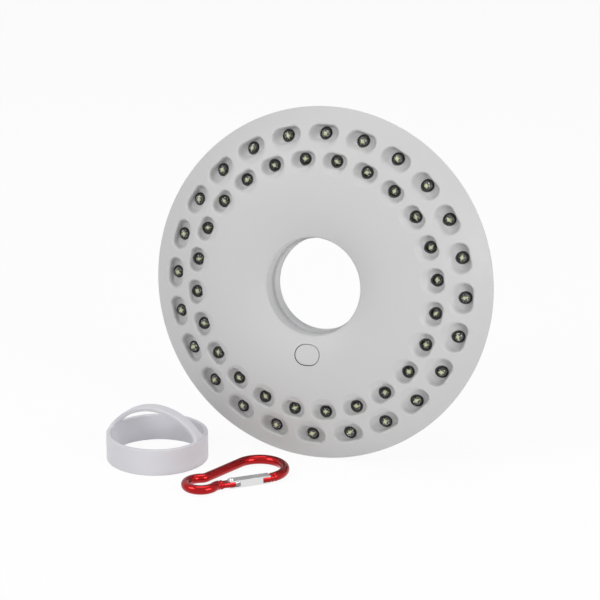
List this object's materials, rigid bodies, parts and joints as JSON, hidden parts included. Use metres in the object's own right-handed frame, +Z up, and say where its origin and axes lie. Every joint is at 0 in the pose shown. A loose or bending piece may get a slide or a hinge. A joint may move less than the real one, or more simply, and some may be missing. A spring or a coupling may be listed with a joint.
{
  "type": "patio umbrella light",
  "caption": "Round battery light with recessed lights in circles round its pole hole, a fold-out stand wire, a hanging loop, a hanger ring and a carabiner.",
  "frame": {"origin": "on the floor, under the middle of the set's box", "axes": "+Z up, the light faces -Y and leans back towards +Y, +X to the viewer's right as one faces the light"},
  "size_m": [0.1956, 0.1118, 0.182],
  "materials": {
    "face_plastic": "satin, moulded",
    "back_plastic": "satin, moulded",
    "button_plastic": "satin, moulded",
    "ring_plastic": "satin, moulded",
    "black_plastic": "matt",
    "switch_steel": "bright",
    "circuit_board": "solder mask",
    "led_lens": "clear domed lens over a yellow phosphor",
    "tinned_pins": "tinned",
    "resistor_body": "lacquered",
    "lead_sleeve": "flexible sleeve",
    "screw_steel": "zinc plated",
    "cell_case": "printed sleeve",
    "spring_steel": "nickel plated",
    "wire_steel": "plated wire",
    "red_anodised": "glossy red anodised",
    "gate_aluminium": "folded sheet, satin",
    "rivet_steel": "bright"
  },
  "bodies": {
    "light": {"front_shell": "face_plastic", "rear_shell": "back_plastic", "tact_switch": "switch_steel", "switch_board": "circuit_board", "led_board": "circuit_board", "outer_leds": "led_lens", "inner_leds": "led_lens", "led_pins": "tinned_pins", "resistors": "resistor_body", "driver_chip": "black_plastic", "lead_wires": "lead_sleeve", "board_screws": "screw_steel", "aa_cells": "cell_case", "cell_springs": "spring_steel", "contact_plates": "spring_steel", "case_screws": "screw_steel"},
    "button": {"power_button": "button_plastic", "switch_plunger": "black_plastic"},
    "door_left": {"battery_door_left": "back_plastic"},
    "door_right": {"battery_door_right": "back_plastic"},
    "stand": {"stand_wire": "wire_steel"},
    "loop": {"hanging_loop": "wire_steel"},
    "ring": {"hanger_ring": "ring_plastic"},
    "carabiner": {"carabiner_body": "red_anodised", "gate_spring": "spring_steel"},
    "gate": {"carabiner_gate": "gate_aluminium", "gate_rivet": "rivet_steel"}
  },
  "joints": [
    {"name": "button_press", "type": "slide", "parent": "light", "child": "button", "axis": [0, 0.9839, -0.1788], "range_m": [0, 0.0005], "stiffness_N_per_m": 800, "springref_m": -0.001},
    {"name": "door_left_off", "type": "slide", "parent": "light", "child": "door_left", "axis": [0, 0.9839, -0.1788], "range_m": [0, 0.02]},
    {"name": "door_right_off", "type": "slide", "parent": "light", "child": "door_right", "axis": [0, 0.9839, -0.1788], "range_m": [0, 0.02]},
    {"name": "stand_fold", "type": "hinge", "parent": "light", "child": "stand", "pos_m": [0.00527, 0.02817, 0.03262], "axis": [1, 0, 0], "range_deg": [-37.1, 0]},
    {"name": "loop_swing", "type": "hinge", "parent": "light", "child": "loop", "pos_m": [0.00527, 0.05339, 0.17135], "axis": [1, 0, 0], "range_deg": [-10.3, 150]},
    {"name": "ring_lift", "type": "slide", "parent": "light", "child": "ring", "axis": [0, 0, 1], "range_m": [0, 0.1]},
    {"name": "carabiner_lift", "type": "slide", "parent": "light", "child": "carabiner", "axis": [0, 0, 1], "range_m": [0, 0.1]},
    {"name": "gate_open", "type": "hinge", "parent": "carabiner", "child": "gate", "pos_m": [-0.01903, -0.03935, 0.0025], "axis": [0, 0, 1], "range_deg": [0, 26], "stiffness_Nm_per_rad": 0.02, "springref_deg": -28.65}
  ]
}
